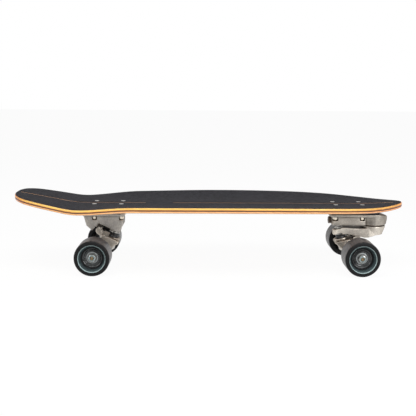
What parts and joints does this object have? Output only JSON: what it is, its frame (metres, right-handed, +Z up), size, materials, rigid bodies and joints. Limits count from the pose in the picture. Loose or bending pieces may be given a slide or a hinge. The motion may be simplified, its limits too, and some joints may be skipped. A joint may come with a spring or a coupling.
{
  "type": "surf skateboard",
  "caption": "Short wide skateboard with a kicktail, a spring-centred swing-arm front truck, a tall-base rear truck and soft urethane wheels.",
  "frame": {"origin": "on the ground under the middle of the deck", "axes": "+X towards the nose, +Y towards the left-hand rail of a rider who faces the nose, +Z up"},
  "size_m": [0.7828, 0.2542, 0.1481],
  "materials": {
    "maple": "clear-coated maple plies with a natural edge",
    "grip": "coarse matte grit sheet",
    "riser": "matte moulded pad",
    "raw_casting": "raw satin sand casting",
    "plated_steel": "zinc plated",
    "black_steel": "black oxide",
    "bushing_urethane": "satin poured urethane",
    "cup_plastic": "moulded",
    "wheel_urethane": "satin poured urethane",
    "hub_plastic": "moulded core",
    "bearing_steel": "polished races and shields"
  },
  "bodies": {
    "board": {"deck": "maple", "grip_tape": "grip", "rear_riser": "riser", "front_riser": "riser", "deck_bolt_1": "plated_steel", "deck_bolt_2": "plated_steel", "deck_bolt_3": "plated_steel", "deck_bolt_4": "plated_steel", "deck_bolt_5": "plated_steel", "deck_bolt_6": "plated_steel", "deck_bolt_7": "plated_steel", "deck_bolt_8": "plated_steel", "rear_base": "raw_casting", "rear_kingpin": "plated_steel", "rear_kingpin_nut": "plated_steel", "rear_upper_bushing": "bushing_urethane", "rear_lower_bushing": "bushing_urethane", "rear_upper_washer": "plated_steel", "rear_lower_washer": "plated_steel", "rear_pivot_cup": "cup_plastic", "front_housing": "raw_casting", "arm_pivot_bolt": "plated_steel", "arm_pivot_washer": "plated_steel", "arm_pivot_nut": "plated_steel", "arm_thrust_ring": "black_steel", "return_spring": "plated_steel", "spring_adjuster": "black_steel", "spring_plunger": "plated_steel"},
    "front_arm": {"swing_arm": "raw_casting", "front_kingpin": "plated_steel", "front_kingpin_nut": "plated_steel", "front_upper_bushing": "bushing_urethane", "front_lower_bushing": "bushing_urethane", "front_upper_washer": "plated_steel", "front_lower_washer": "plated_steel", "front_pivot_cup": "cup_plastic"},
    "rear_hanger_body": {"rear_hanger": "raw_casting", "rear_axle": "plated_steel", "rear_right_axle_nut": "plated_steel", "rear_left_axle_nut": "plated_steel"},
    "rear_right_wheel": {"rear_right_tyre": "wheel_urethane", "rear_right_core": "hub_plastic", "rear_right_outer_bearing": "bearing_steel", "rear_right_inner_bearing": "bearing_steel"},
    "rear_left_wheel": {"rear_left_tyre": "wheel_urethane", "rear_left_core": "hub_plastic", "rear_left_outer_bearing": "bearing_steel", "rear_left_inner_bearing": "bearing_steel"},
    "front_hanger_body": {"front_hanger": "raw_casting", "front_axle": "plated_steel", "front_right_axle_nut": "plated_steel", "front_left_axle_nut": "plated_steel"},
    "front_right_wheel": {"front_right_tyre": "wheel_urethane", "front_right_core": "hub_plastic", "front_right_outer_bearing": "bearing_steel", "front_right_inner_bearing": "bearing_steel"},
    "front_left_wheel": {"front_left_tyre": "wheel_urethane", "front_left_core": "hub_plastic", "front_left_outer_bearing": "bearing_steel", "front_left_inner_bearing": "bearing_steel"}
  },
  "joints": [
    {"name": "arm_swing", "type": "hinge", "parent": "board", "child": "front_arm", "pos_m": [0.33415, 0, 0.084], "axis": [0, 0, 1], "range_deg": [-25, 25], "stiffness_Nm_per_rad": 15},
    {"name": "front_hanger_tilt", "type": "hinge", "parent": "front_arm", "child": "front_hanger_body", "pos_m": [0.27015, 0, 0.05], "axis": [0.9239, 0, 0.3827], "range_deg": [-15, 15], "stiffness_Nm_per_rad": 30, "deforming": ["front_upper_bushing", "front_lower_bushing"]},
    {"name": "rear_hanger_tilt", "type": "hinge", "parent": "board", "child": "rear_hanger_body", "pos_m": [-0.19935, 0, 0.05], "axis": [-0.7314, 0, 0.682], "range_deg": [-15, 15], "stiffness_Nm_per_rad": 30, "deforming": ["rear_upper_bushing", "rear_lower_bushing"]},
    {"name": "rear_right_wheel_roll", "type": "hinge", "parent": "rear_hanger_body", "child": "rear_right_wheel", "pos_m": [-0.22735, -0.0955, 0.0345], "axis": [0, 1, 0], "continuous": true},
    {"name": "rear_left_wheel_roll", "type": "hinge", "parent": "rear_hanger_body", "child": "rear_left_wheel", "pos_m": [-0.22735, 0.0955, 0.0345], "axis": [0, 1, 0], "continuous": true},
    {"name": "front_right_wheel_roll", "type": "hinge", "parent": "front_hanger_body", "child": "front_right_wheel", "pos_m": [0.29175, -0.0955, 0.0345], "axis": [0, 1, 0], "continuous": true},
    {"name": "front_left_wheel_roll", "type": "hinge", "parent": "front_hanger_body", "child": "front_left_wheel", "pos_m": [0.29175, 0.0955, 0.0345], "axis": [0, 1, 0], "continuous": true}
  ]
}
